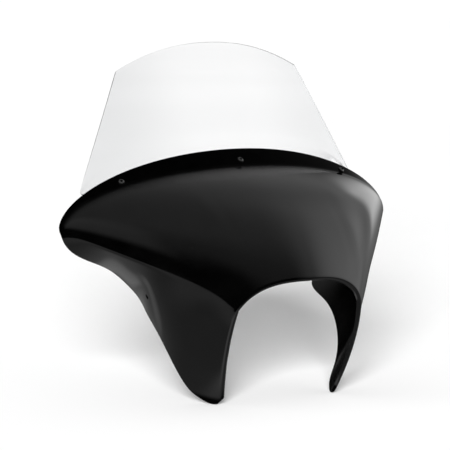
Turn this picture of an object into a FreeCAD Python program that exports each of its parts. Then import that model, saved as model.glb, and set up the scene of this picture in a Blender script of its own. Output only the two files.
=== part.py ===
import FreeCAD, Part
import os
from math import asin, cos, exp, hypot, pi, radians, sin, tan

# Batwing fairing: a moulded shell around a round headlight, with a clear windshield behind its band.
# Millimetres and degrees. The origin is on the headlight's axis, in the plane of the wing tips' rear edge.
# X is across, Y points back (so forward is -Y) and Z is up. Heights are above the headlight's axis.

# Top edge: a flattened half ellipse from wing tip to wing tip
HALF_SPAN = 251.5
TOP_HEIGHT = 238.5
TOP_FORWARD = 18.0
TOP_FORWARD_ROUNDING = 0.25
TIP_HEIGHT = 146.6
TOP_EDGE_POWER = 1.16

# Band under the top edge, which the windshield is screwed to
BAND_WIDTH = 32.0
BAND_TIP_WIDTH = 6.0
BAND_TAPER_POWER = 1.5
BAND_LEAN = 44.0
BAND_TIP_LEAN = 30.0

# Crease between the hood and the leg panels, from the headlight corner to the wing tip
CORNER_X = 93.6
CORNER_FORWARD = 171.2
CORNER_HEIGHT = 48.3
CREASE_TIP_INSET = 4.0
CREASE_TIP_FORWARD = 6.0
CREASE_TIP_HEIGHT = 140.0
CREASE_DIP = 27.7
CREASE_DIP_POWER = 5
CREASE_LEVELLING = 0.3
NOSE_ROUNDING = 60.0

# Hood between the band and the crease
HOOD_START_DROP = 16.0
HOOD_START_REACH = 0.55
HOOD_NOSE_LEAN = -15.0
HOOD_SIDE_LEAN = 38.0
HOOD_SIDE_X = 150.0
HOOD_END_REACH = 0.45

# Headlight arch, seen from the front
ARCH_TOP_HEIGHT = 84.7
ARCH_POWER = 2.6

# Legs: the front edge's two guide points and foot, then the rear edge up from the foot to the wing.
# Along the wing the rear edge's points are at shares of the way out to the wing tip.
LEG_FRONT_GUIDES = [(104.0, 159.0, 9.0), (97.0, 141.0, -38.0)]
LEG_FOOT = (87.0, 124.0, -74.5)
LEG_REAR_EDGE = [
    (93.0, 109.0, -77.5),
    (100.5, 96.0, -72.5),
    (109.0, 86.0, -64.0),
    (120.0, 80.0, -47.7),
    (132.5, 69.0, -17.0),
    (138.7, 50.6, 11.6),
    (138.3, 24.0, 34.0),
    (136.0, 2.0, 50.0),
]
WING_REAR_EDGE = [
    (0.139, -3.0, 69.0),
    (0.364, -3.0, 88.5),
    (0.658, -1.0, 102.5),
    (0.857, 0.0, 115.0),
    (0.965, 1.0, 130.0),
    (0.994, 1.0, 139.5),
]
LEG_FOOT_RADIUS = 6.0
LEG_BRACKET_ALONG = 0.485
LEG_BRACKET_DOWN = 0.633
BRACKET_HOLE_RADIUS = 3.25

# Windshield
SCREEN_TOP_HEIGHT = 374.0
SCREEN_CORNER_HEIGHT = 340.0
SCREEN_TOP_HALF_WIDTH = 139.0
SCREEN_TOP_POWER = 2.15
SCREEN_BASE_TURN = 57.45
SCREEN_FORWARD = -1.0
SCREEN_FORWARD_HEIGHT = 256.0
SCREEN_LEAN = 19.0
SCREEN_BOW_RADIUS = 600.0
SCREEN_BEND_RISE = 22.0
SCREEN_BEND_SIDE_RISE = -2.0
SCREEN_BEND_REACH = 10.0
SCREEN_BEND_SIDE_REACH = 5.0
SCREEN_FOOT_SIDE_START = 8.0
SCREEN_SIDE_POWER = 4
SCREEN_FOOT_SHARE = 0.9
SCREEN_CORNER_RADIUS = 9.0

# Walls, the thick lip around the headlight opening, and the gap between faces that seat on each other
SHELL_WALL = 3.5
LIP_WALL = 6.0
LIP_REACH = 10.0
SCREEN_WALL = 3.0
SEAT_GAP = 0.1

# Screws, washers and nuts
CENTRE_SCREW_INSET = 20.9
SIDE_SCREW_INSET = 13.75
SIDE_SCREW_TURN = 43.5
SCREW_RADIUS = 2.5
SCREW_HEAD_RADIUS = 4.75
SCREW_HEAD_HEIGHT = 2.75
SCREW_SOCKET_ACROSS = 3.0
SCREW_SOCKET_DEPTH = 1.6
SCREW_PROUD = 1.5
HOLE_CLEARANCE = 0.4
WASHER_RADIUS = 6.0
WASHER_HEIGHT = 1.2
WASHER_GAP = 0.25
NUT_ACROSS = 8.0
NUT_HEIGHT = 4.0
THREAD_CLEARANCE = 0.1

# Poles of the curved faces
CENTRE_COLUMNS = 27
SIDE_COLUMNS = 45
HOOD_ROWS = 15
LEG_ROWS = 13
SCREEN_COLUMNS = 37
SCREEN_SHEET_ROWS = 6
SCREEN_BEND_ROWS = 6
SCREEN_FOOT_ROWS = 4

TIP_TURN = pi / 2
STEP = 1e-4


def lerp(start, end, share):
    return start + (end - start) * share


def place(x, forward, height):
    return FreeCAD.Vector(x, -forward, height)


def mirrored(point):
    return FreeCAD.Vector(-point.x, point.y, point.z)


def unit(vector):
    return vector * (1.0 / vector.Length)


def bezier(points, share):
    while len(points) > 1:
        points = [lerp(a, b, share) for a, b in zip(points, points[1:])]
    return points[0]


def surface_normal(surface, u, v, low=-TIP_TURN, high=TIP_TURN):
    """Unit normal of surface(u, v), by small steps either side, with u kept from low to high."""
    along = surface(min(u + STEP, high), v) - surface(max(u - STEP, low), v)
    down = surface(u, v + STEP) - surface(u, v - STEP)
    return unit(down.cross(along))


def pole_shares(count):
    """Even shares from 0 to 1 for a clamped cubic's poles, with the end ones drawn in."""
    spans = count - 3
    knots = [0, 0, 0] + list(range(spans + 1)) + [spans] * 3
    return [sum(knots[i + 1:i + 4]) / (3.0 * spans) for i in range(count)]


def knots_of(count, degree):
    spans = count - degree
    multiplicities = [degree + 1] + [1] * (spans - 1) + [degree + 1]
    return multiplicities, [float(i) for i in range(spans + 1)]


def spline_face(rows):
    """A face on the given rows of poles: cubic where there are enough, straight across two rows."""
    degrees = [min(3, len(rows) - 1), min(3, len(rows[0]) - 1)]
    row_multiplicities, row_knots = knots_of(len(rows), degrees[0])
    column_multiplicities, column_knots = knots_of(len(rows[0]), degrees[1])
    surface = Part.BSplineSurface()
    surface.buildFromPolesMultsKnots(
        rows, row_multiplicities, column_multiplicities, row_knots, column_knots,
        False, False, degrees[0], degrees[1])
    return surface.toShape()


def sewn_solid(faces):
    """Joins faces along their shared edges; the first face is one whose normal points out."""
    shell = Part.makeShell(faces)
    shell.sewShape()
    return Part.Solid(shell)


# Guide lines of the shell. A turn runs from -90 degrees at the left wing tip to 90 at the right one.

def top_edge(turn):
    height = lerp(TIP_HEIGHT, TOP_HEIGHT, max(cos(turn), 0.0) ** TOP_EDGE_POWER)
    across = hypot(sin(turn), TOP_FORWARD_ROUNDING) - TOP_FORWARD_ROUNDING
    tip = hypot(1.0, TOP_FORWARD_ROUNDING) - TOP_FORWARD_ROUNDING
    return place(HALF_SPAN * sin(turn), lerp(TOP_FORWARD, 0.0, across / tip), height)


def band_width(turn):
    return lerp(BAND_TIP_WIDTH, BAND_WIDTH, max(cos(turn), 0.0) ** BAND_TAPER_POWER)


def band_direction(turn):
    """Down the band: forward, and inward across the top edge."""
    edge = top_edge(min(turn + STEP, TIP_TURN)) - top_edge(max(turn - STEP, -TIP_TURN))
    length = hypot(edge.x, edge.z)
    lean = radians(lerp(BAND_TIP_LEAN, BAND_LEAN, cos(turn) ** 2))
    return place(sin(lean) * edge.z / length, cos(lean), -sin(lean) * edge.x / length)


def band(turn, share):
    return top_edge(turn) + band_direction(turn) * (band_width(turn) * share)


def rounded(x):
    """Distance from the middle, rounded off at the nose."""
    return hypot(x, NOSE_ROUNDING)


CREASE_TIP_X = HALF_SPAN - CREASE_TIP_INSET


def crease_drop(inward):
    """Fall below the wing tip, at a share of the way in to the corner; past 1 it levels out."""
    fall = CREASE_TIP_HEIGHT - CORNER_HEIGHT - CREASE_DIP
    if inward <= 1.0:
        return fall * inward + CREASE_DIP * inward ** CREASE_DIP_POWER
    slope = fall + CREASE_DIP * CREASE_DIP_POWER
    beyond = 1.0 - exp((1.0 - inward) / CREASE_LEVELLING)
    return fall + CREASE_DIP + slope * CREASE_LEVELLING * beyond


def crease(turn):
    """The line between hood and leg panel, carried on across the headlight opening."""
    x = CREASE_TIP_X * sin(turn)
    slope = (CORNER_FORWARD - CREASE_TIP_FORWARD) / (rounded(CREASE_TIP_X) - rounded(CORNER_X))
    forward = CORNER_FORWARD - slope * (rounded(x) - rounded(CORNER_X))
    inward = (CREASE_TIP_X - abs(x)) / (CREASE_TIP_X - CORNER_X)
    return place(x, forward, CREASE_TIP_HEIGHT - crease_drop(inward))


CORNER_TURN = asin(CORNER_X / CREASE_TIP_X)
CORNER_RISE = (CORNER_HEIGHT / ARCH_TOP_HEIGHT) ** ARCH_POWER
ARCH_HALF_WIDTH = CORNER_X / (1.0 - CORNER_RISE) ** (1.0 / ARCH_POWER)


def hood(turn, share):
    """From the band's lower border at share 0, over the nose, to the crease at share 1."""
    border = band(turn, 1.0)
    end = crease(turn)
    side = min(abs(end.x) / HOOD_SIDE_X, 1.0)
    lean = radians(lerp(HOOD_NOSE_LEAN, HOOD_SIDE_LEAN, side * side * (3.0 - 2.0 * side)))
    drop = radians(HOOD_START_DROP)
    first = (border.y - end.y) * HOOD_START_REACH
    last = (border.z - end.z) * HOOD_END_REACH
    start_guide = place(lerp(border.x, end.x, 1 / 3), -border.y + first * cos(drop), border.z - first * sin(drop))
    end_guide = place(lerp(border.x, end.x, 2 / 3), -end.y + last * sin(lean), end.z + last * cos(lean))
    return bezier([border, start_guide, end_guide, end], share)


def arch_height(x):
    across = min(abs(x) / ARCH_HALF_WIDTH, 1.0)
    return ARCH_TOP_HEIGHT * (1.0 - across ** ARCH_POWER) ** (1.0 / ARCH_POWER)


def hood_share_at_arch(turn):
    """Share of the hood's section at which it meets the arch, or 1 where the crease ends it."""
    if abs(turn) >= CORNER_TURN:
        return 1.0
    low, high = 0.2, 1.0
    for _ in range(50):
        middle = (low + high) / 2
        point = hood(turn, middle)
        if point.z > arch_height(point.x):
            low = middle
        else:
            high = middle
    return low


def rear_edge_points():
    wing_start = LEG_REAR_EDGE[-1][0]
    wing = [(lerp(wing_start, HALF_SPAN, share), forward, height) for share, forward, height in WING_REAR_EDGE]
    return [place(*point) for point in [LEG_FOOT] + LEG_REAR_EDGE + wing]


REAR_EDGE = Part.BSplineCurve()
REAR_EDGE.interpolate(rear_edge_points())


def rear_edge(share):
    return REAR_EDGE.value(lerp(REAR_EDGE.FirstParameter, REAR_EDGE.LastParameter, share))


def leg_front(share):
    corner = (CORNER_X, CORNER_FORWARD, CORNER_HEIGHT)
    return bezier([place(*point) for point in [corner] + LEG_FRONT_GUIDES + [LEG_FOOT]], share)


def leg_share(turn):
    return (CREASE_TIP_X * sin(turn) - CORNER_X) / (CREASE_TIP_X - CORNER_X)


def leg(along, down):
    """Right leg panel: from its front edge out to the wing tip, and from the crease to the rear edge."""
    turn = asin(min(lerp(CORNER_X, CREASE_TIP_X, along) / CREASE_TIP_X, 1.0))
    bow = leg_front(down) - lerp(leg_front(0.0), leg_front(1.0), down)
    return lerp(crease(turn), rear_edge(along), down) + bow * (1.0 - along)


def leg_normal(along, down):
    return surface_normal(leg, along, down, 0.0, 1.0)


def border_normal(turn):
    return unit(surface_normal(band, turn, 1.0) + surface_normal(hood, turn, 0.0))


def crease_normal(turn):
    hood_side = surface_normal(hood, abs(turn), 1.0)
    both = unit(hood_side + leg_normal(leg_share(abs(turn)), 0.0))
    return both if turn > 0 else mirrored(both)


# The shell: rows of outer points, the same rows moved inward by the wall, and the rims that join them

def inner_rows(rows, normals, wall):
    return [[p - n * wall for p, n in zip(row, line)] for row, line in zip(rows, normals)]


def lip_wall(point, edge):
    """The wall at a point, thicker towards the nearest point on the headlight opening's edge."""
    nearness = max(0.0, 1.0 - (point - edge).Length / LIP_REACH)
    return lerp(SHELL_WALL, LIP_WALL, nearness ** 2)


def lipped_rows(rows, normals, edges):
    """Inner points of each row, with the wall set by the edge point that belongs to each outer point."""
    return [[p - n * lip_wall(p, e) for p, n, e in zip(*lines)] for lines in zip(rows, normals, edges)]


def band_rows(turns):
    rows = [[band(turn, share) for turn in turns] for share in (0.0, 1.0)]
    normals = [[surface_normal(band, turn, 0.0) for turn in turns], [border_normal(turn) for turn in turns]]
    return rows, inner_rows(rows, normals, SHELL_WALL)


def hood_normal(turn, share, ends_at_crease):
    if share == 0.0:
        return border_normal(turn)
    if ends_at_crease:
        return crease_normal(turn)
    return surface_normal(hood, turn, share)


def hood_rows(turns):
    ends = [hood_share_at_arch(turn) for turn in turns]
    rows = []
    normals = []
    for share in pole_shares(HOOD_ROWS):
        at_crease = [share == 1.0 and abs(turn) >= CORNER_TURN for turn in turns]
        rows.append([hood(turn, share * end) for turn, end in zip(turns, ends)])
        normals.append([hood_normal(turn, share * end, last)
                        for turn, end, last in zip(turns, ends, at_crease)])
    opening = [hood(max(-CORNER_TURN, min(turn, CORNER_TURN)), end) for turn, end in zip(turns, ends)]
    return rows, lipped_rows(rows, normals, [opening] * len(rows))


def leg_rows(turns):
    rows = []
    normals = []
    for share in pole_shares(LEG_ROWS):
        rows.append([leg(leg_share(turn), share) for turn in turns])
        if share == 0.0:
            normals.append([crease_normal(turn) for turn in turns])
        else:
            normals.append([leg_normal(leg_share(turn), share) for turn in turns])
    inner = lipped_rows(rows, normals, [[row[0]] * len(row) for row in rows])
    for row, share in zip(inner, pole_shares(LEG_ROWS)):
        row[-1] = lerp(inner[0][-1], inner[-1][-1], share)
    return rows, inner


def column(rows, index):
    return [row[index] for row in rows]


def mirrored_rows(rows):
    return [[mirrored(point) for point in row] for row in rows]


def sheet_faces(outer, inner, rims):
    """Both faces of one patch of sheet, and a rim along each free side that is named."""
    sides = {
        "first_row": (outer[0], inner[0]),
        "last_row": (outer[-1], inner[-1]),
        "first_column": (column(outer, 0), column(inner, 0)),
        "last_column": (column(outer, -1), column(inner, -1)),
    }
    return [spline_face(outer), spline_face(inner)] + [spline_face(list(sides[name])) for name in rims]


def tip_rows(band_end, hood_end, leg_end):
    """The wing tip: from a straight rim, where the top edge meets the rear edge, in to the hood's end."""
    rim = [lerp(band_end[0], leg_end[-1], share) for share in pole_shares(HOOD_ROWS)]
    return [rim, hood_end]


def wing_faces(flip):
    """Band, hood, leg panel and tip of one side, from the headlight corner outwards."""
    turns = [lerp(CORNER_TURN, TIP_TURN, share) for share in pole_shares(SIDE_COLUMNS)]
    panels = [band_rows(turns), hood_rows(turns), leg_rows(turns)]
    tip = [tip_rows(*[column(panel[layer], -1) for panel in panels]) for layer in (0, 1)]
    patches = [
        (panels[0], ["first_row"]),
        (panels[1], []),
        (panels[2], ["first_column", "last_row"]),
        (tip, ["first_row"]),
    ]
    faces = []
    for (outer, inner), rims in patches:
        if flip:
            outer, inner = mirrored_rows(outer), mirrored_rows(inner)
        faces += sheet_faces(outer, inner, rims)
    return faces


def centre_faces():
    turns = [lerp(-CORNER_TURN, CORNER_TURN, share) for share in pole_shares(CENTRE_COLUMNS)]
    return sheet_faces(*band_rows(turns), ["first_row"]) + sheet_faces(*hood_rows(turns), ["last_row"])


def round_corners(sheet, points, radius):
    """Rounds the edges that run through the sheet's thickness at its corner points."""
    edges = []
    for point in points:
        near = [edge for edge in sheet.Edges if edge.distToShape(Part.Vertex(point))[0] < SEAT_GAP]
        edges.append(min(near, key=lambda edge: edge.Length))
    return sheet.makeFillet(radius, edges)


def drill(start, axis, radius, length):
    return Part.makeCylinder(radius, length, start, axis)


def screw_seats():
    """Where each screw meets the band's outer face, and the way out of the band there."""
    seats = []
    for turn, inset in (
            (-radians(SIDE_SCREW_TURN), SIDE_SCREW_INSET),
            (0.0, CENTRE_SCREW_INSET),
            (radians(SIDE_SCREW_TURN), SIDE_SCREW_INSET)):
        share = inset / band_width(turn)
        seats.append((band(turn, share), surface_normal(band, turn, share)))
    return seats


def bracket_seats():
    point = leg(LEG_BRACKET_ALONG, LEG_BRACKET_DOWN)
    out = leg_normal(LEG_BRACKET_ALONG, LEG_BRACKET_DOWN)
    return [(mirrored(point), mirrored(out)), (point, out)]


def through_holes(seats, radius, depth):
    """A drill through each seat, from as far outside as its depth inside."""
    return [drill(point + out * depth, out * -1.0, radius, 2.0 * depth) for point, out in seats]


def fairing_shell():
    shell = sewn_solid(wing_faces(False) + centre_faces() + wing_faces(True))
    foot = place(*LEG_FOOT)
    shell = round_corners(shell, [mirrored(foot), foot], LEG_FOOT_RADIUS)
    reach = 3.0 * SHELL_WALL
    holes = through_holes(screw_seats(), SCREW_RADIUS + HOLE_CLEARANCE, reach)
    holes += through_holes(bracket_seats(), BRACKET_HOLE_RADIUS, reach)
    return shell.cut(holes)


# The windshield: a leaning bowed sheet, a bend behind the top edge, and a foot along the band's back

def screen_sheet(x, height):
    back = tan(radians(SCREEN_LEAN)) * (height - SCREEN_FORWARD_HEIGHT)
    bow = x ** 2 / (2.0 * SCREEN_BOW_RADIUS)
    return place(x, SCREEN_FORWARD - back - bow, height)


def screen_foot(turn, down):
    behind = surface_normal(band, turn, 0.0) * (SHELL_WALL + SEAT_GAP)
    return top_edge(turn) + band_direction(turn) * down - behind


def screen_column(across):
    """Points down the front face at a share across, from the top edge to the foot's lower edge."""
    turn = across * radians(SCREEN_BASE_TURN)
    fall = (SCREEN_TOP_HEIGHT - SCREEN_CORNER_HEIGHT) * abs(across) ** SCREEN_TOP_POWER
    top = screen_sheet(across * SCREEN_TOP_HALF_WIDTH, SCREEN_TOP_HEIGHT - fall)
    aside = abs(across) ** SCREEN_SIDE_POWER
    foot_start = lerp(0.0, SCREEN_FOOT_SIDE_START, aside)
    foot_end = band_width(turn) * SCREEN_FOOT_SHARE
    foot = screen_foot(turn, foot_start)
    edge = top_edge(turn)
    bend = screen_sheet(edge.x, edge.z + lerp(SCREEN_BEND_RISE, SCREEN_BEND_SIDE_RISE, aside))
    downs = [i / SCREEN_SHEET_ROWS for i in range(SCREEN_SHEET_ROWS + 1)]
    sheet = [screen_sheet(lerp(top.x, bend.x, down), lerp(top.z, bend.z, down)) for down in downs]
    reach = lerp(SCREEN_BEND_REACH, SCREEN_BEND_SIDE_REACH, aside)
    into_bend = bend + unit(bend - sheet[-2]) * reach
    out_of_bend = foot - band_direction(turn) * reach
    turn_in = [bezier([bend, into_bend, out_of_bend, foot], i / SCREEN_BEND_ROWS)
               for i in range(1, SCREEN_BEND_ROWS)]
    lower = [screen_foot(turn, lerp(foot_start, foot_end, i / SCREEN_FOOT_ROWS))
             for i in range(SCREEN_FOOT_ROWS + 1)]
    return sheet + turn_in + lower


def grid_normals(rows):
    """Unit normals at the points of a grid, from its neighbours."""
    last_row, last_column = len(rows) - 1, len(rows[0]) - 1
    normals = []
    for i, row in enumerate(rows):
        above, below = rows[max(i - 1, 0)], rows[min(i + 1, last_row)]
        normals.append([unit((below[j] - above[j]).cross(row[min(j + 1, last_column)] - row[max(j - 1, 0)]))
                        for j in range(len(row))])
    return normals


def windshield():
    columns = [screen_column(2.0 * share - 1.0) for share in pole_shares(SCREEN_COLUMNS)]
    front = [list(row) for row in zip(*columns)]
    back = inner_rows(front, grid_normals(front), SCREEN_WALL)
    sides = ["first_row", "last_row", "first_column", "last_column"]
    sheet = sewn_solid(sheet_faces(front, back, sides))
    sheet = round_corners(sheet, [front[0][0], front[0][-1]], SCREEN_CORNER_RADIUS)
    reach = 3.0 * (SHELL_WALL + SCREEN_WALL)
    return sheet.cut(through_holes(screw_seats(), SCREW_RADIUS + HOLE_CLEARANCE, reach))


# Fasteners, one set at each screw seat

def hexagon(across_flats, height, start, axis):
    """A hexagonal prism on the axis."""
    side = unit(axis.cross(FreeCAD.Vector(1, 0, 0)))
    other = axis.cross(side)
    corner = across_flats / (2.0 * cos(pi / 6))
    points = [start + side * (corner * cos(i * pi / 3)) + other * (corner * sin(i * pi / 3)) for i in range(7)]
    return Part.Face(Part.makePolygon(points)).extrude(axis * height)


STACK = SHELL_WALL + SEAT_GAP + SCREEN_WALL
WASHER_BACK = STACK + WASHER_GAP + WASHER_HEIGHT
NUT_BACK = WASHER_BACK + SEAT_GAP + NUT_HEIGHT


def screw(point, out):
    seat = point + out * SEAT_GAP
    shank = drill(seat, out * -1.0, SCREW_RADIUS, NUT_BACK + SCREW_PROUD)
    dome_radius = (SCREW_HEAD_RADIUS ** 2 + SCREW_HEAD_HEIGHT ** 2) / (2.0 * SCREW_HEAD_HEIGHT)
    dome = Part.makeSphere(dome_radius, seat - out * (dome_radius - SCREW_HEAD_HEIGHT))
    head = dome.common(drill(seat, out, SCREW_HEAD_RADIUS, SCREW_HEAD_HEIGHT))
    floor = seat + out * (SCREW_HEAD_HEIGHT - SCREW_SOCKET_DEPTH)
    socket = hexagon(SCREW_SOCKET_ACROSS, SCREW_HEAD_HEIGHT, floor, out)
    return head.fuse(shank).cut(socket).removeSplitter()


def washer(point, out):
    back = point - out * WASHER_BACK
    return drill(back, out, WASHER_RADIUS, WASHER_HEIGHT).cut(
        drill(back, out, SCREW_RADIUS + HOLE_CLEARANCE, WASHER_HEIGHT))


def nut(point, out):
    back = point - out * NUT_BACK
    return hexagon(NUT_ACROSS, NUT_HEIGHT, back, out).cut(
        drill(back, out, SCREW_RADIUS + THREAD_CLEARANCE, NUT_HEIGHT))


def main():
    os.makedirs("parts", exist_ok=True)
    pieces = {"fairing_shell": fairing_shell(), "windshield": windshield()}
    for side, (point, out) in zip(("left", "centre", "right"), screw_seats()):
        pieces[side + "_screw"] = screw(point, out)
        pieces[side + "_washer"] = washer(point, out)
        pieces[side + "_nut"] = nut(point, out)
    for name, shape in pieces.items():
        shape.exportStep("parts/" + name + ".step")


main()
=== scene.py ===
from math import cos, pi, radians, sin

import bmesh
import bpy
import numpy as np
from mathutils import Matrix, Vector


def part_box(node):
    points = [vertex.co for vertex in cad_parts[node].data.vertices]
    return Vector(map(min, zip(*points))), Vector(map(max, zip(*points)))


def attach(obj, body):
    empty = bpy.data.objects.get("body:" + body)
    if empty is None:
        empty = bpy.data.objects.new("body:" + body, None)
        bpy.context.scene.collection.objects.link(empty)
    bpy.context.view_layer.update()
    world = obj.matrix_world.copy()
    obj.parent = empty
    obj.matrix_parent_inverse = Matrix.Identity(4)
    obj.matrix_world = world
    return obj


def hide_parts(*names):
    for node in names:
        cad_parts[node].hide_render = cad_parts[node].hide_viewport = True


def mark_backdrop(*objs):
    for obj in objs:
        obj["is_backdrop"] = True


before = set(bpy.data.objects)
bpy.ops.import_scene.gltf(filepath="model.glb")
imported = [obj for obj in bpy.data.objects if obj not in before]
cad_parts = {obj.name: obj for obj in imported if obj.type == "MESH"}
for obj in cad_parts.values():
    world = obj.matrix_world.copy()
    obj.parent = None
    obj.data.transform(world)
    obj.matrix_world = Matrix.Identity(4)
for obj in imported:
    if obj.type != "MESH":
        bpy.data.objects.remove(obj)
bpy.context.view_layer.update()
MM = 0.001

# The shell's sizes, in millimetres and degrees: the part's, but for crease dip, nose, hood end and bracket
HALF_SPAN, TOP_HEIGHT, TIP_HEIGHT, TOP_EDGE_POWER = 251.5, 238.5, 146.6, 1.16
TOP_FORWARD, TOP_FORWARD_ROUNDING = 18.0, 0.25
BAND_WIDTH, BAND_TIP_WIDTH, BAND_TAPER_POWER = 32.0, 6.0, 1.5
BAND_LEAN, BAND_TIP_LEAN = 44.0, 30.0
CORNER = (93.6, 171.2, 48.3)
CREASE_TIP = (247.5, 6.0, 140.0)
CREASE_DIP, CREASE_DIP_POWER, CREASE_LEVELLING, NOSE_ROUNDING = 11.0, 10, 0.3, 90.0
CREASE_BLEND, CENTRE_BLEND = 0.15, 80.0
HOOD_START_DROP, HOOD_START_REACH = 16.0, 0.55
HOOD_NOSE_LEAN, HOOD_SIDE_LEAN, HOOD_SIDE_X, HOOD_END_REACH = -17.0, 20.0, 200.0, 0.56
ARCH_TOP_HEIGHT, ARCH_POWER = 84.7, 2.6
LEG_FRONT_GUIDES = [(104.0, 159.0, 9.0), (97.0, 141.0, -38.0)]
LEG_FOOT = (87.0, 124.0, -74.5)
LEG_REAR_EDGE = [
    (93.0, 109.0, -77.5), (100.5, 96.0, -72.5), (109.0, 86.0, -64.0), (120.0, 80.0, -47.7),
    (132.5, 69.0, -17.0), (138.7, 50.6, 11.6), (138.3, 24.0, 34.0), (136.0, 2.0, 50.0),
    (152.0, -3.0, 69.0), (178.0, -3.0, 88.5), (212.0, -1.0, 102.5), (235.0, 0.0, 115.0),
    (247.5, 1.0, 130.0), (250.8, 1.0, 139.5)]
LEG_FOOT_RADIUS = 6.0
LEG_BRACKET, BRACKET_HOLE_RADIUS = (0.4925, 0.613), 3.25
CENTRE_SCREW_INSET, SIDE_SCREW_INSET, SIDE_SCREW_TURN, SCREW_HOLE_RADIUS = 20.9, 13.75, 43.5, 2.9
SHELL_WALL, LIP_WALL, LIP_REACH = 3.5, 6.0, 10.0
TIP_TURN = pi / 2
SIDE_SCREW, CENTRE_SCREW = (radians(SIDE_SCREW_TURN), SIDE_SCREW_INSET), (0.0, CENTRE_SCREW_INSET)

# How finely the shell is drawn, and how soft its lines are
CENTRE_COLUMNS, SIDE_COLUMNS, COLUMN_POWER, FIRST_COLUMN = 96, 120, 1.2, 0.0135
BAND_ROWS, HOOD_ROWS, LEG_ROWS, CORNER_ROWS = 14, 44, 40, 5
BORDER_SOFTNESS, CREASE_SOFTNESS, CREASE_FADE = 4.5, 3.0, 0.06
RIM_ROUNDING, LIP_ROUNDING, INNER_ROUNDING, RIM_GAP, LIP_GAP = 2.6, 4.0, 0.7, 3.4, 5.2
ROUNDING_SHARE, CORNER_SHARE, CORNER_REACH = 0.8, 0.25, 14.0
HOLE_ROUNDING, HOLE_REACH, HOLE_RINGS = 0.4, 3, 3
FINISH_REACH = 1.3
MOST_OF_BAND, MOST_OF_HOOD_TOP, MOST_OF_HOOD_END, MOST_AT_CREASE, MOST_OF_LEG = 0.4, 0.15, 0.1, 0.2, 0.3
ROUNDING_SEGMENTS = 4

# Small steps and limits of the sums
STEP, SAMPLE, ANGLE_SLACK, LEAST_LENGTH = 1e-4, 0.02, 1e-9, 1e-12
ARCH_SEARCH_FROM, ARCH_SEARCH_STEPS, SEAT_SEARCH_STEPS = 0.2, 50, 5
MERGE_DISTANCE, LEAST_EDGE = 1e-6, 1e-7


def lerp(start, end, share):
    return start + (end - start) * share


def place(x, forward, height):
    return np.stack(np.broadcast_arrays(x, -np.asarray(forward, float), height), -1)


def unit(vectors):
    return vectors / np.linalg.norm(vectors, axis=-1, keepdims=True)


def smoothed(share):
    share = np.clip(share, 0.0, 1.0)
    return share ** 3 * (10.0 + share * (6.0 * share - 15.0))


def bezier(points, share):
    share = np.asarray(share, float)[..., None]
    while len(points) > 1:
        points = [a + (b - a) * share for a, b in zip(points, points[1:])]
    return points[0]


# Guide lines and panels of the shell; a turn runs from -90 degrees at the left wing tip to 90

def top_edge(turn):
    rise = np.maximum(np.cos(turn), 0.0) ** TOP_EDGE_POWER
    across = np.hypot(np.sin(turn), TOP_FORWARD_ROUNDING) - TOP_FORWARD_ROUNDING
    tip = np.hypot(1.0, TOP_FORWARD_ROUNDING) - TOP_FORWARD_ROUNDING
    forward = lerp(TOP_FORWARD, 0.0, across / tip)
    return place(HALF_SPAN * np.sin(turn), forward, lerp(TIP_HEIGHT, TOP_HEIGHT, rise))


def band_width(turn):
    return lerp(BAND_TIP_WIDTH, BAND_WIDTH, np.maximum(np.cos(turn), 0.0) ** BAND_TAPER_POWER)


def band_direction(turn):
    edge = top_edge(np.minimum(turn + STEP, TIP_TURN)) - top_edge(np.maximum(turn - STEP, -TIP_TURN))
    length = np.hypot(edge[..., 0], edge[..., 2])
    lean = np.radians(lerp(BAND_TIP_LEAN, BAND_LEAN, np.cos(turn) ** 2))
    return place(np.sin(lean) * edge[..., 2] / length, np.cos(lean), -np.sin(lean) * edge[..., 0] / length)


def band(turn, share):
    reach = band_width(turn) * share
    return top_edge(turn) + band_direction(turn) * np.asarray(reach)[..., None]


def band_at(turn, inset):
    """A point of the band, at a distance in millimetres from the top edge."""
    return band(turn, inset / band_width(turn))


def distance_out(x):
    """The distance from the middle plane, levelled smoothly next to it."""
    near = np.minimum(np.abs(x) / CENTRE_BLEND, 1.0)
    return np.maximum(np.abs(x), CENTRE_BLEND) + CENTRE_BLEND * (0.75 * near ** 2 - 0.125 * near ** 4 - 0.625)


def crease(turn, dip=CREASE_DIP):
    x = CREASE_TIP[0] * np.sin(turn)
    corner_far, tip_far = np.hypot(CORNER[0], NOSE_ROUNDING), np.hypot(CREASE_TIP[0], NOSE_ROUNDING)
    slope = (CORNER[1] - CREASE_TIP[1]) / (tip_far - corner_far)
    forward = CORNER[1] - slope * (np.hypot(x, NOSE_ROUNDING) - corner_far)
    inward = (CREASE_TIP[0] - distance_out(x)) / (CREASE_TIP[0] - CORNER[0])
    fall = CREASE_TIP[2] - CORNER[2] - CREASE_DIP
    outside = fall * inward + dip * np.abs(inward) ** CREASE_DIP_POWER
    levelled = 1.0 - np.exp((1.0 - inward) / CREASE_LEVELLING)
    inside = fall + dip + (fall + dip * CREASE_DIP_POWER) * CREASE_LEVELLING * levelled
    past_corner = smoothed((inward - 1.0 + CREASE_BLEND) / (2.0 * CREASE_BLEND))
    return place(x, forward, CREASE_TIP[2] - lerp(outside, inside, past_corner))


def hood(turn, share):
    border, end, steady = band(turn, 1.0), crease(turn), crease(turn, 0.0)[..., 2]
    lean = np.radians(lerp(HOOD_NOSE_LEAN, HOOD_SIDE_LEAN, smoothed(np.abs(end[..., 0]) / HOOD_SIDE_X)))
    drop = radians(HOOD_START_DROP)
    first = (border[..., 1] - end[..., 1]) * HOOD_START_REACH
    last = (border[..., 2] - steady) * HOOD_END_REACH
    start_guide = place(lerp(border[..., 0], end[..., 0], 1 / 3),
                        -border[..., 1] + first * cos(drop), border[..., 2] - first * sin(drop))
    end_guide = place(lerp(border[..., 0], end[..., 0], 2 / 3),
                      -end[..., 1] + last * np.sin(lean), steady + last * np.cos(lean))
    return bezier([border, start_guide, end_guide, end], share)


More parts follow.
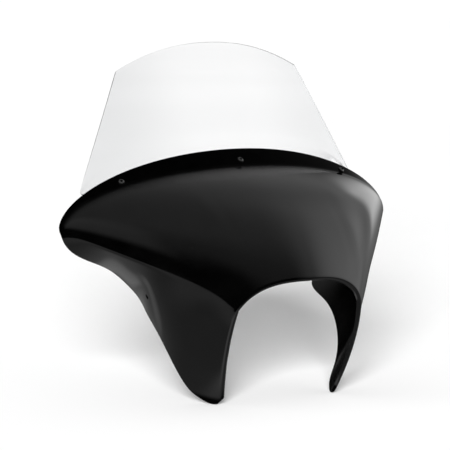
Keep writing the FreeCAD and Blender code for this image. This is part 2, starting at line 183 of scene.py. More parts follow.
CORNER_TURN = np.arcsin(CORNER[0] / CREASE_TIP[0])
ARCH_HALF_WIDTH = CORNER[0] / (1.0 - (CORNER[2] / ARCH_TOP_HEIGHT) ** ARCH_POWER) ** (1.0 / ARCH_POWER)


def hood_share_at_arch(turn):
    low, high = np.full_like(turn, ARCH_SEARCH_FROM), np.ones_like(turn)
    for _ in range(ARCH_SEARCH_STEPS):
        middle = (low + high) / 2
        point = hood(turn, middle)
        across = np.minimum(np.abs(point[..., 0]) / ARCH_HALF_WIDTH, 1.0)
        above = point[..., 2] > ARCH_TOP_HEIGHT * (1.0 - across ** ARCH_POWER) ** (1.0 / ARCH_POWER)
        low, high = np.where(above, middle, low), np.where(above, high, middle)
    return np.where(np.abs(turn) >= CORNER_TURN - ANGLE_SLACK, 1.0, low)


def natural_spline(points):
    """A smooth curve through the points, read at a share of its chord length."""
    points = np.array(points, float)
    chord = np.concatenate([[0.0], np.cumsum(np.linalg.norm(np.diff(points, axis=0), axis=1))])
    count, h = len(points), np.diff(chord)
    matrix, right = np.eye(count), np.zeros_like(points)
    for i in range(1, count - 1):
        matrix[i, i - 1:i + 2] = h[i - 1], 2.0 * (h[i - 1] + h[i]), h[i]
        right[i] = 6.0 * ((points[i + 1] - points[i]) / h[i] - (points[i] - points[i - 1]) / h[i - 1])
    bend = np.linalg.solve(matrix, right)

    def read(share):
        at = np.clip(share, 0.0, 1.0) * chord[-1]
        i = np.clip(np.searchsorted(chord, at, side="right") - 1, 0, count - 2)
        a, b, width = chord[i + 1] - at, at - chord[i], h[i]
        a, b, width = a[..., None], b[..., None], width[..., None]
        return (bend[i] * a ** 3 / (6 * width) + bend[i + 1] * b ** 3 / (6 * width)
                + (points[i] / width - bend[i] * width / 6) * a
                + (points[i + 1] / width - bend[i + 1] * width / 6) * b)
    return read


rear_edge = natural_spline([place(*point) for point in [LEG_FOOT] + LEG_REAR_EDGE])


def leg_front(share):
    return bezier([place(*point) for point in [CORNER] + LEG_FRONT_GUIDES + [LEG_FOOT]], share)


def leg(along, down):
    along, down = np.broadcast_arrays(np.clip(along, 0.0, 1.0), np.asarray(down, float))
    turn = np.arcsin(np.minimum(lerp(CORNER[0], CREASE_TIP[0], along) / CREASE_TIP[0], 1.0))
    chord = lerp(leg_front(np.zeros_like(down)), leg_front(np.ones_like(down)), down[..., None])
    bow = leg_front(down) - chord
    return lerp(crease(turn), rear_edge(along), down[..., None]) + bow * (1.0 - along)[..., None]


# Rows of points over the shell's outside, from the top edge down, one column for each turn

def soft_corner(before, corner, after):
    shares = np.linspace(0.0, 1.0, CORNER_ROWS + 2)[1:-1]
    return [bezier([before, corner, after], np.full(before.shape[:-1], share)) for share in shares]


def upper_rows(turn, ends, trim):
    """Band and hood down to a share of the hood, with the line between them softened."""
    cut_band = np.minimum(BORDER_SOFTNESS / band_width(turn), MOST_OF_BAND)
    hood_length = np.linalg.norm(hood(turn, SAMPLE) - hood(turn, 0.0), axis=-1) / SAMPLE
    cut_hood = np.minimum(BORDER_SOFTNESS / hood_length, MOST_OF_HOOD_TOP)
    rows = [band(turn, lerp(0.0, 1.0 - cut_band, i / BAND_ROWS)) for i in range(BAND_ROWS + 1)]
    rows += soft_corner(rows[-1], band(turn, 1.0), hood(turn, cut_hood))
    last = ends - trim - np.minimum(LIP_GAP / hood_length, MOST_OF_HOOD_END)
    rows += [hood(turn, lerp(cut_hood, last, i / (HOOD_ROWS - 1))) for i in range(HOOD_ROWS)]
    rows.append(hood(turn, ends - trim))
    return rows


def side_rows(turn, along):
    hood_length = np.linalg.norm(hood(turn, 1.0) - hood(turn, 1.0 - SAMPLE), axis=-1) / SAMPLE
    leg_length = np.linalg.norm(leg(along, SAMPLE) - leg(along, 0.0), axis=-1) / SAMPLE
    fade = np.minimum(along / CREASE_FADE, 1.0)
    cut_hood = fade * np.minimum(CREASE_SOFTNESS / hood_length, MOST_AT_CREASE)
    cut_leg = fade * np.minimum(CREASE_SOFTNESS / leg_length, MOST_AT_CREASE)
    rows = upper_rows(turn, np.ones_like(turn), cut_hood)
    rows += soft_corner(rows[-1], hood(turn, 1.0), leg(along, cut_leg))
    reach = np.linalg.norm(np.diff(rear_edge(along), axis=0), axis=1)
    from_foot = np.concatenate([[0.0], np.cumsum(reach)])
    inside = np.clip(1.0 - from_foot / LEG_FOOT_RADIUS, 0.0, 1.0)
    lift = LEG_FOOT_RADIUS * (1.0 - np.sqrt(1.0 - inside ** 2)) / leg_length
    last = 1.0 - lift - np.minimum(RIM_GAP / leg_length, MOST_OF_LEG)
    rows += [leg(along, lerp(cut_leg, last, i / (LEG_ROWS - 1))) for i in range(LEG_ROWS)]
    rows.append(leg(along, 1.0 - lift))
    return rows


def grid_normals(grid):
    down = np.gradient(grid, axis=0)
    across = np.gradient(grid, axis=1)
    normals = np.cross(down, across)
    length = np.linalg.norm(normals, axis=-1, keepdims=True)
    return normals / np.maximum(length, LEAST_LENGTH)


def mirrored(grid):
    return (grid * np.array([-1.0, 1.0, 1.0]))[:, ::-1]


centre_turns = np.linspace(-CORNER_TURN, CORNER_TURN, CENTRE_COLUMNS + 1)
side_steps = lerp(FIRST_COLUMN, 1.0, np.linspace(0.0, 1.0, SIDE_COLUMNS) ** COLUMN_POWER)
side_turns = lerp(CORNER_TURN, TIP_TURN, np.concatenate([[0.0], side_steps]))
side_along = (CREASE_TIP[0] * np.sin(side_turns) - CORNER[0]) / (CREASE_TIP[0] - CORNER[0])
centre_grid = np.array(upper_rows(centre_turns, hood_share_at_arch(centre_turns), 0.0))
right_grid = np.array(side_rows(side_turns, side_along))
UPPER, LEG_START = len(centre_grid), len(right_grid) - LEG_ROWS - 1

# One outward direction where the two grids meet
upper_grid = np.concatenate([mirrored(right_grid)[:UPPER, :-1], centre_grid, right_grid[:UPPER, 1:]], axis=1)
centre_normals = grid_normals(upper_grid)[:, SIDE_COLUMNS:SIDE_COLUMNS + CENTRE_COLUMNS + 1].copy()
right_normals = grid_normals(right_grid)
right_normals[:UPPER - 1, 0] = centre_normals[:UPPER - 1, -1]
right_normals[UPPER:LEG_START + 1, 0] = right_normals[UPPER - 1, 0]
centre_normals[-1, -1] = right_normals[UPPER - 1, 0]
centre_normals[-1, 0] = right_normals[UPPER - 1, 0] * np.array([-1.0, 1.0, 1.0])


def inside_of(grid, normals, edges):
    """The outside moved in by the wall, which thickens to a lip near the headlight opening."""
    nearness = np.maximum(0.0, 1.0 - np.linalg.norm(grid - edges, axis=-1) / LIP_REACH)
    return grid - normals * lerp(SHELL_WALL, LIP_WALL, nearness ** 2)[..., None]


def finish_of(grid, turns):
    """0 on the satin band, growing to 1 on the gloss of the hood."""
    below = np.cumsum(np.linalg.norm(np.diff(grid[BAND_ROWS:], axis=0), axis=-1), axis=0)
    gloss = smoothed(below / (FINISH_REACH * band_width(turns)))
    return np.concatenate([np.zeros((BAND_ROWS + 1, grid.shape[1])), gloss])


centre_inside = inside_of(centre_grid, centre_normals, centre_grid[-1:])
above_crease = np.arange(len(right_grid))[:, None, None] < UPPER
right_edges = np.where(above_crease, right_grid[UPPER - 1, 0], right_grid[:, :1])
right_inside = inside_of(right_grid, right_normals, right_edges)


# The shell's mesh, and the places of its three materials

GLOSS, BAND, INSIDE = range(3)


def link(mesh, name, body="root"):
    piece = bpy.data.objects.new(name, mesh)
    bpy.context.scene.collection.objects.link(piece)
    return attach(piece, body)


def add_sheet(bm, points, finishes, slots, patches):
    """Quads over rows of points, left out where a hole's patch is; slots gives each row its material."""
    finish = bm.verts.layers.float["finish"]
    verts = [[bm.verts.new(Vector(point) * MM) for point in row] for row in points]
    for vert, value in zip([vert for row in verts for vert in row], finishes.ravel()):
        vert[finish] = value
    for i in range(len(verts) - 1):
        for j in range(len(verts[0]) - 1):
            if any(top <= i < bottom and left <= j < right for top, bottom, left, right in patches):
                continue
            face = bm.faces.new([verts[i][j], verts[i + 1][j], verts[i + 1][j + 1], verts[i][j + 1]])
            face.material_index = slots[i]
            face.smooth = True
    return verts


def rounding_room(edge, next_to_edge):
    """How far the points beside an edge stand from it, less towards the corners of the headlight opening."""
    from_corner = np.linalg.norm(np.abs(edge) - np.abs(place(*CORNER)), axis=-1)
    fade = lerp(CORNER_SHARE, 1.0, smoothed(from_corner / CORNER_REACH))
    return np.linalg.norm(next_to_edge - edge, axis=-1) * fade


def add_rim(bm, outer, inner, gaps, most):
    """A strip between the edge of the outside and the edge of the inside, marked for rounding."""
    weight = bm.edges.layers.float["bevel_weight_edge"]
    for i in range(len(outer) - 1):
        face = bm.faces.new([outer[i], outer[i + 1], inner[i + 1], inner[i]])
        face.smooth = True
        rounding = min(most, ROUNDING_SHARE * min(gaps[i], gaps[i + 1]))
        bm.edges.get((outer[i], outer[i + 1]))[weight] = rounding / LIP_ROUNDING
        bm.edges.get((inner[i], inner[i + 1]))[weight] = min(rounding, INNER_ROUNDING) / LIP_ROUNDING


def near_seat(panel, seat, offsets):
    """Points of a panel at sideways offsets in millimetres from a seat, and the outward directions there."""
    across = (panel(seat[0] + STEP, seat[1]) - panel(seat[0] - STEP, seat[1])) / (2.0 * STEP)
    down = (panel(seat[0], seat[1] + STEP) - panel(seat[0], seat[1] - STEP)) / (2.0 * STEP)
    normal = unit(np.cross(down, across))
    axes = np.stack([unit(across), np.cross(normal, unit(across))])
    slopes = axes @ np.stack([across, down], -1)
    shares = np.zeros_like(offsets)
    for _ in range(SEAT_SEARCH_STEPS):
        moved = (panel(seat[0] + shares[:, 0], seat[1] + shares[:, 1]) - panel(*seat)) @ axes.T
        shares += np.linalg.solve(slopes, (offsets - moved).T).T
    u, v = seat[0] + shares[:, 0], seat[1] + shares[:, 1]
    normals = unit(np.cross(panel(u, v + STEP) - panel(u, v - STEP), panel(u + STEP, v) - panel(u - STEP, v)))
    return panel(u, v), normals, axes


def patch_around(grid, centre, rows):
    """The square of quads around a hole, among the given rows: top, bottom, left and right."""
    far = np.linalg.norm(grid[rows] - centre, axis=-1)
    i, j = np.unravel_index(np.argmin(far), far.shape)
    i = min(i + rows.start, rows.stop - 1 - HOLE_REACH)
    return i - HOLE_REACH, i + HOLE_REACH, j - HOLE_REACH, j + HOLE_REACH


def add_hole(bm, outer, inner, patch, panel, seat, radius, slot, rounding):
    """Rings of quads from the patch's border in to a round hole, on both sides, and the hole's wall."""
    finish, weight = bm.verts.layers.float["finish"], bm.edges.layers.float["bevel_weight_edge"]
    top, bottom, left, right = patch
    border = [(top, j) for j in range(left, right)] + [(i, right) for i in range(top, bottom)]
    border += [(bottom, j) for j in range(right, left, -1)] + [(i, left) for i in range(bottom, top, -1)]
    seat = np.array(seat, float)
    axes = near_seat(panel, seat, np.zeros((1, 2)))[2]
    flat = np.array([(np.array(outer[i][j].co) / MM - panel(*seat)) @ axes.T for i, j in border])
    angles = np.unwrap(np.arctan2(flat[:, 1], flat[:, 0]))
    step = np.sign(angles[-1] - angles[0]) * 2.0 * pi / len(border) * np.arange(len(border))
    angles = step + np.mean(angles - step)
    circle = radius * np.stack([np.cos(angles), np.sin(angles)], -1)
    sides = [[outer[i][j] for i, j in border]], [[inner[i][j] for i, j in border]]
    for ring in range(1, HOLE_RINGS + 1):
        points, normals, _ = near_seat(panel, seat, lerp(flat, circle, ring / HOLE_RINGS))
        for side, depth in zip(sides, (0.0, SHELL_WALL)):
            side.append([bm.verts.new(Vector(point) * MM) for point in points - normals * depth])
            for vert in side[-1]:
                vert[finish] = outer[top][left][finish]
    count = len(border)
    for side, material in zip(sides, (slot, INSIDE)):
        for ring, within in zip(side, side[1:]):
            for k in range(count):
                face = bm.faces.new([ring[k], ring[(k + 1) % count], within[(k + 1) % count], within[k]])
                face.material_index = material
                face.smooth = True
    for k in range(count):
        a, b = sides[0][-1][k], sides[0][-1][(k + 1) % count]
        face = bm.faces.new([a, b, sides[1][-1][(k + 1) % count], sides[1][-1][k]])
        face.smooth = True
        bm.edges.get((a, b))[weight] = rounding


def build_shell():
    bm = bmesh.new()
    bm.edges.layers.float.new("bevel_weight_edge")
    bm.verts.layers.float.new("finish")
    outside = [BAND] * BAND_ROWS + [GLOSS] * len(right_grid)
    within = [INSIDE] * len(right_grid)
    band_rows, leg_rows = slice(0, BAND_ROWS + 1), slice(LEG_START, len(right_grid))
    bracket = LEG_BRACKET, leg, BRACKET_HOLE_RADIUS, leg_rows, GLOSS, HOLE_ROUNDING / LIP_ROUNDING
    side_screw = SIDE_SCREW, band_at, SCREW_HOLE_RADIUS, band_rows, BAND, 0.0
    centre_screw = CENTRE_SCREW, band_at, SCREW_HOLE_RADIUS, band_rows, BAND, 0.0
    for grid, inside_grid, turns, holes in (
            (right_grid, right_inside, side_turns, [bracket, side_screw]),
            (centre_grid, centre_inside, centre_turns, [centre_screw])):
        patches = [patch_around(grid, panel(*np.array(seat, float)), rows)
                   for seat, panel, _, rows, _, _ in holes]
        finishes = finish_of(grid, turns)
        outer = add_sheet(bm, grid, finishes, outside, patches)
        inner = add_sheet(bm, inside_grid, finishes, within, patches)
        for patch, (seat, panel, radius, _, slot, rounding) in zip(patches, holes):
            add_hole(bm, outer, inner, patch, panel, seat, radius, slot, rounding)
        add_rim(bm, outer[0], inner[0], rounding_room(grid[0], grid[1]), RIM_ROUNDING)
        most = RIM_ROUNDING if grid is right_grid else LIP_ROUNDING
        add_rim(bm, outer[-1], inner[-1], rounding_room(grid[-1], grid[-2]), most)
        if grid is right_grid:
            front = [[row[0] for row in side[UPPER - 1:]] for side in (outer, inner)]
            add_rim(bm, *front, rounding_room(grid[UPPER - 1:, 0], grid[UPPER - 1:, 1]), LIP_ROUNDING)
            tip_outer, tip_inner = [row[-1] for row in outer], [row[-1] for row in inner]
            bm.faces.new(tip_outer)
            bm.faces.new(tip_inner)
            bm.faces.new([tip_outer[0], tip_outer[-1], tip_inner[-1], tip_inner[0]])
            copy = bmesh.ops.duplicate(bm, geom=bm.verts[:] + bm.edges[:] + bm.faces[:])
            for vert in (item for item in copy["geom"] if isinstance(item, bmesh.types.BMVert)):
                vert.co.x = -vert.co.x
    bmesh.ops.remove_doubles(bm, verts=bm.verts, dist=MERGE_DISTANCE)
    bmesh.ops.dissolve_degenerate(bm, edges=bm.edges, dist=LEAST_EDGE)
    bmesh.ops.recalc_face_normals(bm, faces=bm.faces)
    mesh = bpy.data.meshes.new("shell")
    bm.to_mesh(mesh)
    bm.free()
    return link(mesh, "shell")


shell = build_shell()
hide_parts("fairing_shell")
rounding = shell.modifiers.new("rim_rounding", "BEVEL")
rounding.limit_method = "WEIGHT"
rounding.width = LIP_ROUNDING * MM
rounding.segments = ROUNDING_SEGMENTS
rounding.use_clamp_overlap = False
weighted = shell.modifiers.new("face_normals", "WEIGHTED_NORMAL")
weighted.keep_sharp = False


# Materials

BAND_SHEEN, GLOSS_SHEEN, SCREW_SHEEN = 0.006, 0.5, 0.05
PLASTIC_IOR, ACRYLIC_IOR, ROUGHNESS_DETAIL = 1.5, 1.49, 4.0
# Painted shade: the windshield's tint darkens from the middle towards its sides
CLEAR_TINT, SIDE_SHADE_TINT = (0.98, 0.982, 0.984), (0.83, 0.835, 0.84)
SIDE_SHADE_START, SIDE_SHADE_END, SIDE_SHADE_LEVEL, TINT_CHANGE = 0.04, 0.17, 0.9, 0.1
# Painted highlight on the screws: a ring of bare metal round each socket, in patches
GLINT_RING_FROM, GLINT_RING_TO = (0.0017, 0.0021), (0.0035, 0.003)
GLINT_PATCHES, SCREW_BLACK, SCREW_GLINT = (0.25, 0.6, 1.0, 0.6), 0.001, 0.1
ZINC_DARK, ZINC_LIGHT = (0.42, 0.42, 0.43), (0.6, 0.6, 0.62)


def material(name):
    made = bpy.data.materials.new(name)
    made.use_nodes = True
    nodes, links = made.node_tree.nodes, made.node_tree.links
    return made, nodes, links, nodes["Principled BSDF"]


def noise(nodes, links, scale, detail=2.0):
    where = nodes.new("ShaderNodeTexCoord")
    texture = nodes.new("ShaderNodeTexNoise")
    texture.inputs["Scale"].default_value = scale
    texture.inputs["Detail"].default_value = detail
    links.new(where.outputs["Object"], texture.inputs["Vector"])
    return texture.outputs["Fac"]


def coordinates(nodes, links, kind="Object"):
    """The three coordinates of a point of a surface, or of a direction where the kind is Generated."""
    where, split = nodes.new("ShaderNodeTexCoord"), nodes.new("ShaderNodeSeparateXYZ")
    links.new(where.outputs[kind], split.inputs["Vector"])
    return split.outputs["X"], split.outputs["Y"], split.outputs["Z"]


def node_maths(nodes, links):
    """Helpers that add nodes: a soft step between two values, one operation, and a product."""

    def between(source, start, end, level=1.0, before=0.0):
        node = nodes.new("ShaderNodeMapRange")
        node.interpolation_type = "SMOOTHSTEP"
        for name, value in (("From Min", start), ("From Max", end), ("To Min", before), ("To Max", level)):
            node.inputs[name].default_value = value
        links.new(source, node.inputs["Value"])
        return node.outputs["Result"]

    def combine(operation, *values):
        node = nodes.new("ShaderNodeMath")
        node.operation = operation
        for socket, value in zip(node.inputs, values):
            if isinstance(value, float):
                socket.default_value = value
            else:
                links.new(value, socket)
        return node.outputs["Value"]

    def product(*factors):
        total = factors[0]
        for factor in factors[1:]:
            total = combine("MULTIPLY", total, factor)
        return total

    return between, combine, product


def ramp_value(nodes, links, source, low, high, target):
    spread = nodes.new("ShaderNodeMapRange")
    spread.inputs["To Min"].default_value = low
    spread.inputs["To Max"].default_value = high
    links.new(source, spread.inputs["Value"])
    links.new(spread.outputs["Result"], target)


def ramp_colour(nodes, links, source, low, high, target, start=0.3, end=0.7):
    ramp = nodes.new("ShaderNodeValToRGB")
    first, last = ramp.color_ramp.elements
    first.position, last.position = start, end
    first.color, last.color = (*low, 1.0), (*high, 1.0)
    links.new(source, ramp.inputs["Fac"])
    links.new(ramp.outputs["Color"], target)


def bump(nodes, links, source, strength, distance, shader):
    node = nodes.new("ShaderNodeBump")
    node.inputs["Strength"].default_value = strength
    node.inputs["Distance"].default_value = distance
    links.new(source, node.inputs["Height"])
    links.new(node.outputs["Normal"], shader.inputs["Normal"])


def black_plastic(name, tone, roughness, grain):
    """Black plastic. Tone and roughness are a noise scale and two ends; grain is scale, detail and bump."""
    made, nodes, links, shader = material(name)
    scale, low, high = tone
    colour = shader.inputs["Base Color"]
    ramp_colour(nodes, links, noise(nodes, links, scale), (low,) * 3, (high,) * 3, colour)
    scale, low, high = roughness
    patches = noise(nodes, links, scale, ROUGHNESS_DETAIL)
    ramp_value(nodes, links, patches, low, high, shader.inputs["Roughness"])
    shader.inputs["IOR"].default_value = PLASTIC_IOR
    scale, detail, strength, distance = grain
    bump(nodes, links, noise(nodes, links, scale, detail), strength, distance, shader)
    return made, nodes, links, shader


def gloss_black():
    made, nodes, links, shader = black_plastic(
        "gloss_black_plastic", tone=(40.0, 0.0002, 0.0006), roughness=(90.0, 0.05, 0.11),
        grain=(260.0, 2.0, 0.02, 0.0004))
    finish = nodes.new("ShaderNodeAttribute")
    finish.attribute_name = "finish"
    sheen = shader.inputs["Specular IOR Level"]
    ramp_value(nodes, links, finish.outputs["Fac"], BAND_SHEEN, GLOSS_SHEEN, sheen)
    return made


def satin_black():
    made, _, _, shader = black_plastic(
        "satin_black_band", tone=(60.0, 0.0001, 0.0003), roughness=(120.0, 0.12, 0.2),
        grain=(400.0, 2.0, 0.03, 0.0003))
    shader.inputs["Specular IOR Level"].default_value = BAND_SHEEN
    return made


def moulded_inside():
    return black_plastic(
        "moulded_inside", tone=(50.0, 0.0008, 0.0018), roughness=(150.0, 0.12, 0.22),
        grain=(500.0, 3.0, 0.06, 0.0003))[0]


def clear_acrylic():
    """Clear sheet, with painted shade that darkens it towards its sides."""
    made, nodes, links, shader = material("clear_acrylic")
    between, combine, _ = node_maths(nodes, links)
    x = coordinates(nodes, links)[0]
    # Painted shade, darker towards the sides of the sheet
    bend = between(combine("ABSOLUTE", x), SIDE_SHADE_START, SIDE_SHADE_END, SIDE_SHADE_LEVEL)
    shade = combine("MULTIPLY_ADD", noise(nodes, links, 6.0), TINT_CHANGE, bend)
    ramp_colour(nodes, links, shade, CLEAR_TINT, SIDE_SHADE_TINT, shader.inputs["Base Color"], 0.0, 1.0)
    ramp_value(nodes, links, noise(nodes, links, 30.0), 0.0, 0.03, shader.inputs["Roughness"])
    shader.inputs["Transmission Weight"].default_value = 1.0
    shader.inputs["IOR"].default_value = ACRYLIC_IOR
    return made


def black_screw(name, seat, axis):
    """Black finish with a ring of bare metal round the socket, about the screw's own axis: a painted
    highlight where the dome catches the light.
    """
    made, nodes, links, shader = material(name)
    point = nodes.new("ShaderNodeTexCoord").outputs["Object"]
    offset, turned, far = [nodes.new("ShaderNodeVectorMath") for _ in range(3)]
    offset.operation, turned.operation, far.operation = "SUBTRACT", "CROSS_PRODUCT", "LENGTH"
    offset.inputs[1].default_value, turned.inputs[1].default_value = seat, axis
    links.new(point, offset.inputs[0])
    links.new(offset.outputs["Vector"], turned.inputs[0])
    links.new(turned.outputs["Vector"], far.inputs[0])
    between, _, product = node_maths(nodes, links)
    # Painted highlight: the bright bare ring where the dome catches the light
    ring = product(between(far.outputs["Value"], *GLINT_RING_FROM), between(far.outputs["Value"], *GLINT_RING_TO))
    painted_glint = product(ring, between(noise(nodes, links, 900.0), *GLINT_PATCHES))
    black, glint_colour = (SCREW_BLACK,) * 3, (SCREW_GLINT,) * 3
    ramp_colour(nodes, links, painted_glint, black, glint_colour, shader.inputs["Base Color"], 0.0, 1.0)
    ramp_value(nodes, links, painted_glint, 0.3, 0.2, shader.inputs["Roughness"])
    links.new(painted_glint, shader.inputs["Metallic"])
    shader.inputs["Specular IOR Level"].default_value = SCREW_SHEEN
    return made


def zinc_steel():
    made, nodes, links, shader = material("zinc_steel")
    ramp_colour(nodes, links, noise(nodes, links, 700.0), ZINC_DARK, ZINC_LIGHT, shader.inputs["Base Color"])
    patches = noise(nodes, links, 1800.0, ROUGHNESS_DETAIL)
    ramp_value(nodes, links, patches, 0.25, 0.42, shader.inputs["Roughness"])
    shader.inputs["Metallic"].default_value = 1.0
    bump(nodes, links, noise(nodes, links, 2500.0), 0.1, 0.0001, shader)
    return made


def dress(node, made):
    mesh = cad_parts[node].data
    mesh.materials.clear()
    mesh.materials.append(made)


def screw_axis(turn, inset):
    """Where a screw's axis meets the band, in metres, and its direction."""
    points, normals, _ = near_seat(band_at, np.array([turn, inset]), np.zeros((1, 2)))
    return Vector(points[0]) * MM, Vector(normals[0])


for made in (gloss_black(), satin_black(), moulded_inside()):
    shell.data.materials.append(made)
dress("windshield", clear_acrylic())
steel_finish = zinc_steel()
left_screw = -SIDE_SCREW[0], SIDE_SCREW[1]
for side, seat in (("left", left_screw), ("centre", CENTRE_SCREW), ("right", SIDE_SCREW)):
    dress(side + "_screw", black_screw(side + "_screw_finish", *screw_axis(*seat)))
    dress(side + "_washer", steel_finish)
    dress(side + "_nut", steel_finish)


# Studio: pale floor, soft light, and the camera at the photograph's angle

FLOOR_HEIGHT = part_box("fairing_shell")[0].z
FLOOR_REACH, FLOOR_DROP, FLOOR_TONES, FLOOR_ROUGHNESS = 12.0, 0.0002, (0.9, 0.93), 0.9
CARD_LOW, CARD_HIGH, CARD_DROP = (-0.65, -0.5), (0.65, 0.9), 0.0004
KEY_STRENGTH, KEY_SPREAD, KEY_AIM = 7.5, 20.0, (0.58, 0.8, -0.3)
FILL, BACKDROP = 0.42, 1.03

# Light that only the gloss sees: each patch is a product of soft steps, and the patches add up
# A step gives its axis, where it starts and ends, and its levels after and before if not 1 and 0
FRONT_SLANT, FOOT_LINE = -0.68, (-0.866, 0.5, 0.1373)
TABLE_LIGHT = {
    "sheet": (("x", -0.32, -0.42, 0.4, 0.26), ("x", -0.56, -0.5), ("x", 0.6, 0.5), ("y", -0.43, -0.35),
              ("y", 0.9, 0.6)),
    "strip": (("y", 0.12, 0.17, 0.25), ("y", 0.26, 0.19), ("x", -0.4, -0.3), ("x", -0.17, -0.25)),
    "rear": (("y", 0.14, 0.18, 0.24), ("y", 0.3, 0.22), ("x", -0.2, -0.15), ("x", -0.05, -0.1)),
    "front": (("slanted", 0.0, -0.06, 0.6), ("x", -0.44, -0.36), ("x", -0.08, -0.14)),
    "middle": (("x", 0.0, 0.04, 0.9), ("x", 0.1, 0.08), ("y", -0.17, -0.14), ("y", -0.05, -0.09))}
# Painted shadow: the card goes dark under each foot
PAINTED_FOOT_SHADOW = {
    "foot": (("inside_foot", -0.012, -0.004), ("inside_foot", 0.03, 0.01), ("y", -0.15, -0.13),
             ("y", -0.06, -0.08))}
OVERHEAD_SLANT, STEEP_SLANT = 1.2, -0.5
STUDIO_LIGHT = {
    "low_top": (("overhead", -0.85, -0.4, 0.155), ("steep", 0.0, 0.35)),
    "high_top": (("overhead", -0.5, 0.3, 0.15), ("steep", 0.0, 0.35)),
    "softbox": (("x", 0.2, 0.6, 0.3), ("z", -0.3, 0.0), ("y", 0.0, 0.35, 0.5, 1.0)),
    "softbox_core": (("x", 0.6, 0.95, 0.65), ("z", -0.3, 0.0), ("y", 0.0, 0.35, 0.5, 1.0)),
    "lamp": (("y", 0.4, 0.5), ("x", 0.65, 0.8), ("z", -0.08, 0.1), ("z", 0.5, 0.35)),
    "card": (("x", -0.65, -0.85, 0.16), ("y", -0.6, -0.45), ("y", -0.1, -0.3), ("z", -0.15, 0.1))}


def light_of(patches, axes, maths):
    between, combine, product = maths
    lit = [product(*[between(axes[axis], *step) for axis, *step in steps]) for steps in patches.values()]
    total = lit[0]
    for patch in lit[1:]:
        total = combine("ADD", total, patch)
    return total


def flat_plane(name, low, high, height, made):
    mesh = bpy.data.meshes.new(name)
    corners = [low, (high[0], low[1]), high, (low[0], high[1])]
    mesh.from_pydata([(x, y, height) for x, y in corners], [], [(0, 1, 2, 3)])
    mesh.materials.append(made)
    plane = bpy.data.objects.new(name, mesh)
    bpy.context.scene.collection.objects.link(plane)
    return plane


def floor():
    made, nodes, links, shader = material("pale_floor")
    dark, light = [(tone,) * 3 for tone in FLOOR_TONES]
    ramp_colour(nodes, links, noise(nodes, links, 0.8), dark, light, shader.inputs["Base Color"])
    shader.inputs["Roughness"].default_value = FLOOR_ROUGHNESS
    shader.inputs["Specular IOR Level"].default_value = 0.0
    corner = FLOOR_REACH, FLOOR_REACH
    plane = flat_plane("floor", (-FLOOR_REACH, -FLOOR_REACH), corner, FLOOR_HEIGHT - FLOOR_DROP, made)
    plane.visible_glossy = False
    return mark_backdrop(plane)


def key_light():
    """One broad soft light from beside the camera; the object's shadow falls behind it."""
    light = bpy.data.lights.new("key", "SUN")
    light.energy, light.angle = KEY_STRENGTH, radians(KEY_SPREAD)
    lamp = bpy.data.objects.new("key", light)
    lamp.rotation_euler = Vector(KEY_AIM).to_track_quat("-Z", "Y").to_euler()
    lamp.visible_glossy = False
    bpy.context.scene.collection.objects.link(lamp)


def table_card():
    """What the gloss sees below it: a pale sheet with brighter patches, and a dark line under each foot that
    is a painted shadow.
    """
    made = bpy.data.materials.new("table_card")
    made.use_nodes = True
    nodes, links = made.node_tree.nodes, made.node_tree.links
    nodes.remove(nodes["Principled BSDF"])
    glow = nodes.new("ShaderNodeEmission")
    links.new(glow.outputs["Emission"], nodes["Material Output"].inputs["Surface"])
    maths = node_maths(nodes, links)
    _, combine, product = maths
    x, y, _ = coordinates(nodes, links)
    along_foot = combine("MULTIPLY_ADD", y, *FOOT_LINE[1:])
    axes = {
        "x": x, "y": y,
        "slanted": combine("MULTIPLY_ADD", x, FRONT_SLANT, y),
        "inside_foot": combine("MULTIPLY_ADD", combine("ABSOLUTE", x), FOOT_LINE[0], along_foot)}
    # The painted shadow under the feet is taken out of the card's light
    outside_foot_shadows = combine("SUBTRACT", 1.0, light_of(PAINTED_FOOT_SHADOW, axes, maths))
    links.new(product(light_of(TABLE_LIGHT, axes, maths), outside_foot_shadows), glow.inputs["Strength"])
    plane = flat_plane("table_card", CARD_LOW, CARD_HIGH, FLOOR_HEIGHT - CARD_DROP, made)
    plane.visible_camera = plane.visible_diffuse = plane.visible_shadow = plane.visible_transmission = False
    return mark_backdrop(plane)


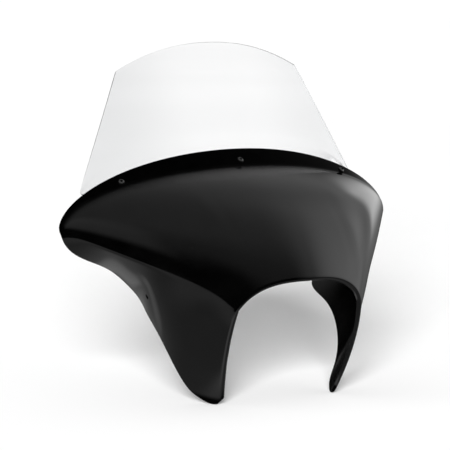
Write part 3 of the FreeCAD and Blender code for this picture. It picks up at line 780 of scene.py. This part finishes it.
def studio_world():
    """A plain backdrop for the camera, a soft fill, and the light that the gloss reflects."""
    world = bpy.data.worlds.new("studio")
    bpy.context.scene.world = world
    world.use_nodes = True
    nodes, links = world.node_tree.nodes, world.node_tree.links
    background = nodes["Background"]
    maths = node_maths(nodes, links)
    combine = maths[1]
    x, y, z = coordinates(nodes, links, "Generated")
    axes = {
        "x": x, "y": y, "z": z,
        "overhead": combine("MULTIPLY_ADD", y, OVERHEAD_SLANT, z),
        "steep": combine("MULTIPLY_ADD", y, STEEP_SLANT, z)}
    glow = light_of(STUDIO_LIGHT, axes, maths)

    def mix(factor, base, other):
        node = nodes.new("ShaderNodeMix")
        node.data_type = "FLOAT"
        links.new(factor, node.inputs["Factor"])
        for name, value in (("A", base), ("B", other)):
            if isinstance(value, float):
                node.inputs[name].default_value = value
            else:
                links.new(value, node.inputs[name])
        return node.outputs["Result"]

    rays = nodes.new("ShaderNodeLightPath")
    seen = combine("MAXIMUM", rays.outputs["Is Camera Ray"], rays.outputs["Is Transmission Ray"])
    reflected = combine("MINIMUM", rays.outputs["Glossy Depth"], 1.0)
    level = mix(reflected, mix(seen, FILL, BACKDROP), glow)
    links.new(level, background.inputs["Strength"])
    background.inputs["Color"].default_value = (1.0, 1.0, 1.0, 1.0)


floor()
key_light()
table_card()
studio_world()
bpy.context.scene.view_settings.view_transform = "Standard"

# The camera stands to the left of the front, a little above, far off with a long lens
AZIMUTH, ELEVATION, FOCAL_PIXELS, MM_PER_PIXEL = radians(33.0), radians(5.75), 3000.0, 1.2923
AIM_POINT, AIM_PIXEL, MIDDLE_PIXEL = Vector((0.0, -33.0, 224.0)), (240.3, 160.0), 225.0
SENSOR_WIDTH, FARTHEST_SEEN = 36.0, 100.0
right = Vector((cos(AZIMUTH), -sin(AZIMUTH), 0.0))
ahead = Vector((sin(AZIMUTH) * cos(ELEVATION), cos(AZIMUTH) * cos(ELEVATION), -sin(ELEVATION)))
up = Vector((sin(AZIMUTH) * sin(ELEVATION), cos(AZIMUTH) * sin(ELEVATION), cos(ELEVATION)))
aside = (MIDDLE_PIXEL - AIM_PIXEL[0]) * MM_PER_PIXEL
above = (AIM_PIXEL[1] - MIDDLE_PIXEL) * MM_PER_PIXEL
stand = AIM_POINT + right * aside + up * above - ahead * (FOCAL_PIXELS * MM_PER_PIXEL)
lens = bpy.data.cameras.new("camera")
lens.sensor_width, lens.lens = SENSOR_WIDTH, SENSOR_WIDTH * FOCAL_PIXELS / (2 * MIDDLE_PIXEL)
lens.clip_end = FARTHEST_SEEN
camera = bpy.data.objects.new("camera", lens)
camera.matrix_world = Matrix((
    (right.x, up.x, -ahead.x, stand.x * MM),
    (right.y, up.y, -ahead.y, stand.y * MM),
    (right.z, up.z, -ahead.z, stand.z * MM),
    (0.0, 0.0, 0.0, 1.0)))
bpy.context.scene.collection.objects.link(camera)
bpy.context.scene.camera = camera
